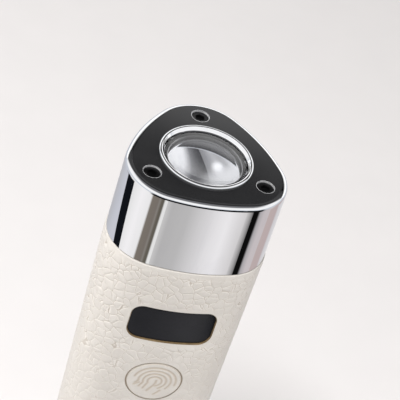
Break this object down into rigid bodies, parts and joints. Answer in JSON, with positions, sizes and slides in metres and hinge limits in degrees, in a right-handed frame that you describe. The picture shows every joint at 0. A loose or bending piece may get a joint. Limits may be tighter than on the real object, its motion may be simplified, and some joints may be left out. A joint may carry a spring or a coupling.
{
  "type": "handheld skin care wand",
  "caption": "Leather-wrapped handheld skin care wand with a rounded-triangle section, a chrome head, a glass dome light window, a small display and a round power button.",
  "frame": {"origin": "on the body's axis at the base plate's outer face, the face that the wand stands on", "axes": "+Z along the body towards the lens, -Y towards the side with the display and the button, +X to the right of someone facing that side"},
  "size_m": [0.0414, 0.0402, 0.1575],
  "materials": {
    "polished_chrome": "polished",
    "satin_black": "satin",
    "black_steel": "satin black oxide",
    "clear_glass": "polished",
    "reflector_mirror": "mirror",
    "ivory_leather": "pebble grain",
    "dark_glass": "polished",
    "ivory_plastic": "matte",
    "dark_plastic": "matte",
    "frame_plastic": "matte",
    "black_rubber": "matte",
    "foam": "matte foam",
    "circuit_board": "solder mask",
    "chip_black": "matte",
    "plug_white": "matte",
    "steel": "brushed",
    "brass": "knurled",
    "aluminium": "satin",
    "cell_wrap": "shrink wrap",
    "led_yellow": "gloss",
    "red_wire": "gloss",
    "black_wire": "gloss",
    "display_cell": "gloss"
  },
  "bodies": {
    "housing": {"head_collar": "polished_chrome", "face_plate": "satin_black", "face_screws": "black_steel", "lens_bezel": "polished_chrome", "lens": "clear_glass", "lens_gasket": "black_rubber", "reflector": "reflector_mirror", "led_board": "circuit_board", "led_emitters": "led_yellow", "heat_spreader": "aluminium", "optic_screws": "steel", "head_core": "dark_plastic", "head_seal": "black_rubber", "neck_inserts": "brass", "handle_shell": "ivory_plastic", "leather_sleeve": "ivory_leather", "display_window": "dark_glass", "display_gasket": "black_rubber", "display_module": "display_cell", "switch_body": "dark_plastic", "main_board": "circuit_board", "board_chips": "chip_black", "board_connectors": "plug_white", "board_screws": "steel", "inner_frame": "frame_plastic", "battery_cell": "cell_wrap", "cell_pads": "foam", "motor_can": "steel", "base_ring": "polished_chrome", "base_plate": "satin_black", "base_screws": "black_steel", "base_inserts": "brass", "base_seal": "black_rubber", "charge_port": "steel", "port_tongue": "chip_black", "port_board": "circuit_board", "port_screws": "steel", "charge_lead_red": "red_wire", "charge_lead_black": "black_wire", "battery_lead_red": "red_wire", "battery_lead_black": "black_wire", "motor_lead_red": "red_wire", "motor_lead_black": "black_wire", "light_lead_red": "red_wire", "light_lead_black": "black_wire"},
    "power_button": {"power_button": "ivory_leather"},
    "switch_plunger": {"switch_plunger": "plug_white"},
    "motor_rotor": {"motor_shaft": "steel", "motor_weight": "steel"}
  },
  "joints": [
    {"name": "power_button_press", "type": "slide", "parent": "housing", "child": "power_button", "axis": [0, 1, 0], "range_m": [0, 0.00035], "stiffness_N_per_m": 2000, "springref_m": -0.0004},
    {"name": "switch_plunger_travel", "type": "slide", "parent": "housing", "child": "switch_plunger", "axis": [0, 1, 0], "range_m": [0, 0.00035]},
    {"name": "motor_spin", "type": "hinge", "parent": "housing", "child": "motor_rotor", "pos_m": [0, 0, 0.1315], "axis": [0, 0, 1], "continuous": true}
  ],
  "couplings": [
    {"joint": "switch_plunger_travel", "follows": "power_button_press", "ratio": 1}
  ]
}
